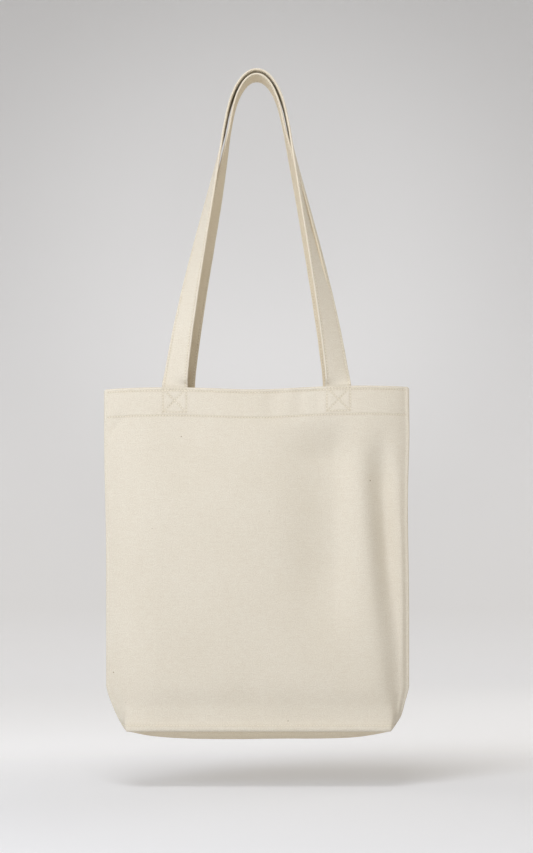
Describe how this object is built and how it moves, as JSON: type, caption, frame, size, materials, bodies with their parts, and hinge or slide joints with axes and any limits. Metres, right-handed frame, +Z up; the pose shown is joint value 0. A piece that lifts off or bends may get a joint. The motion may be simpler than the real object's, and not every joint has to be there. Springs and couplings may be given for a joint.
{
  "type": "tote bag",
  "caption": "Open-topped natural canvas tote bag with a boxed bottom, a stitched hem and two long shoulder handles, hanging by its handles.",
  "frame": {"origin": "the hanging point: the middle of the underside of the back handle's crown, where a hook or peg holds the bag up", "axes": "+Z up, -Y out of the front of the bag, +X to the right seen from the front"},
  "size_m": [0.3564, 0.051, 0.7792],
  "materials": {
    "natural_canvas": "matt unbleached plain-weave cotton canvas with small dark seed flecks",
    "seam_canvas": "matt unbleached cotton canvas, folded and overlocked",
    "cotton_thread": "matt twisted cotton sewing thread in the colour of the canvas"
  },
  "bodies": {
    "bag_base": {"bottom_panel": "natural_canvas", "left_side_seam": "seam_canvas", "right_side_seam": "seam_canvas", "left_corner_seam": "seam_canvas", "right_corner_seam": "seam_canvas"},
    "front_side": {"front_panel": "natural_canvas", "front_handle_left_end": "natural_canvas", "front_handle_right_end": "natural_canvas", "front_hem_stitching": "cotton_thread", "front_mouth_stitching": "cotton_thread", "front_bottom_stitching": "cotton_thread", "front_left_box_stitching": "cotton_thread", "front_right_box_stitching": "cotton_thread"},
    "back_side": {"back_panel": "natural_canvas", "back_handle_left_end": "natural_canvas", "back_handle_right_end": "natural_canvas", "back_hem_stitching": "cotton_thread", "back_mouth_stitching": "cotton_thread", "back_bottom_stitching": "cotton_thread", "back_left_box_stitching": "cotton_thread", "back_right_box_stitching": "cotton_thread"},
    "front_strap": {"front_handle": "natural_canvas", "front_handle_outer_stitching": "cotton_thread", "front_handle_inner_stitching": "cotton_thread"},
    "back_strap": {"back_handle": "natural_canvas", "back_handle_outer_stitching": "cotton_thread", "back_handle_inner_stitching": "cotton_thread"}
  },
  "joints": [
    {"name": "front_mouth_opening", "type": "hinge", "parent": "bag_base", "child": "front_side", "pos_m": [0, -0.025, -0.76], "axis": [1, 0, 0], "range_deg": [0, 3]},
    {"name": "back_mouth_opening", "type": "hinge", "parent": "bag_base", "child": "back_side", "pos_m": [0, 0.025, -0.76], "axis": [-1, 0, 0], "range_deg": [0, 3]},
    {"name": "front_handle_swing", "type": "hinge", "parent": "front_side", "child": "front_strap", "pos_m": [0, -0.016, -0.36], "axis": [1, 0, 0], "range_deg": [0, 160]},
    {"name": "back_handle_swing", "type": "hinge", "parent": "back_side", "child": "back_strap", "pos_m": [0, 0.016, -0.36], "axis": [-1, 0, 0], "range_deg": [0, 160]}
  ]
}
